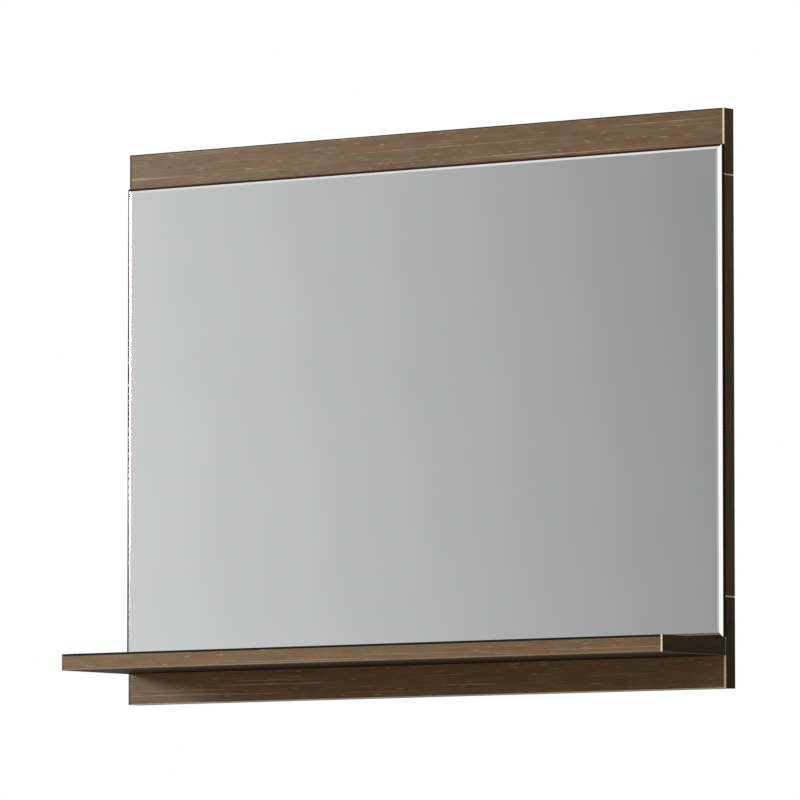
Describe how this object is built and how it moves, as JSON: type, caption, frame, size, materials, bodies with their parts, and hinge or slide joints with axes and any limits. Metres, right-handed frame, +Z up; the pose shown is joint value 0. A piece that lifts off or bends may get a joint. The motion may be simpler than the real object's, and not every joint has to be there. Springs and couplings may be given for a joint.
{
  "type": "wall mirror with shelf",
  "caption": "Wall-hung bathroom mirror in a walnut-decor board frame, with a shelf as wide as the frame and keyhole hangers behind.",
  "frame": {"origin": "on the wall, at the back face of the upper rail, midway between the two keyholes and at the height where the shanks of the wall screws bear", "axes": "+Z up, +Y into the wall, -Y out of the front, +X to the right as seen from the front"},
  "size_m": [0.7, 0.121, 0.54],
  "materials": {
    "walnut_board": "satin melamine, walnut decor",
    "walnut_band": "satin ABS edge band, walnut decor, cream core at the trimmed edges",
    "mirror_pane": "silvered float glass, ground seam and polished facet",
    "mirror_tape": "matt foam tape",
    "beech_dowel": "raw turned beech",
    "zinc_steel": "zinc plated"
  },
  "bodies": {
    "root": {"top_rail": "walnut_board", "bottom_rail": "walnut_board", "left_stile": "walnut_board", "right_stile": "walnut_board", "shelf_board": "walnut_board", "shelf_front_band": "walnut_band", "top_rail_top_band": "walnut_band", "bottom_rail_bottom_band": "walnut_band", "top_rail_left_band": "walnut_band", "top_rail_right_band": "walnut_band", "bottom_rail_left_band": "walnut_band", "bottom_rail_right_band": "walnut_band", "left_stile_band": "walnut_band", "right_stile_band": "walnut_band", "shelf_left_band": "walnut_band", "shelf_right_band": "walnut_band", "mirror_pane": "mirror_pane", "top_mirror_tape": "mirror_tape", "bottom_mirror_tape": "mirror_tape", "left_mirror_tape": "mirror_tape", "right_mirror_tape": "mirror_tape", "left_top_dowel_1": "beech_dowel", "left_top_dowel_2": "beech_dowel", "left_bottom_dowel_1": "beech_dowel", "left_bottom_dowel_2": "beech_dowel", "right_top_dowel_1": "beech_dowel", "right_top_dowel_2": "beech_dowel", "right_bottom_dowel_1": "beech_dowel", "right_bottom_dowel_2": "beech_dowel", "shelf_dowel_1": "beech_dowel", "shelf_dowel_2": "beech_dowel", "shelf_screw_1": "zinc_steel", "shelf_screw_2": "zinc_steel", "shelf_screw_3": "zinc_steel", "left_keyhole_plate": "zinc_steel", "right_keyhole_plate": "zinc_steel", "left_plate_screw_1": "zinc_steel", "left_plate_screw_2": "zinc_steel", "right_plate_screw_1": "zinc_steel", "right_plate_screw_2": "zinc_steel"}
  },
  "joints": []
}
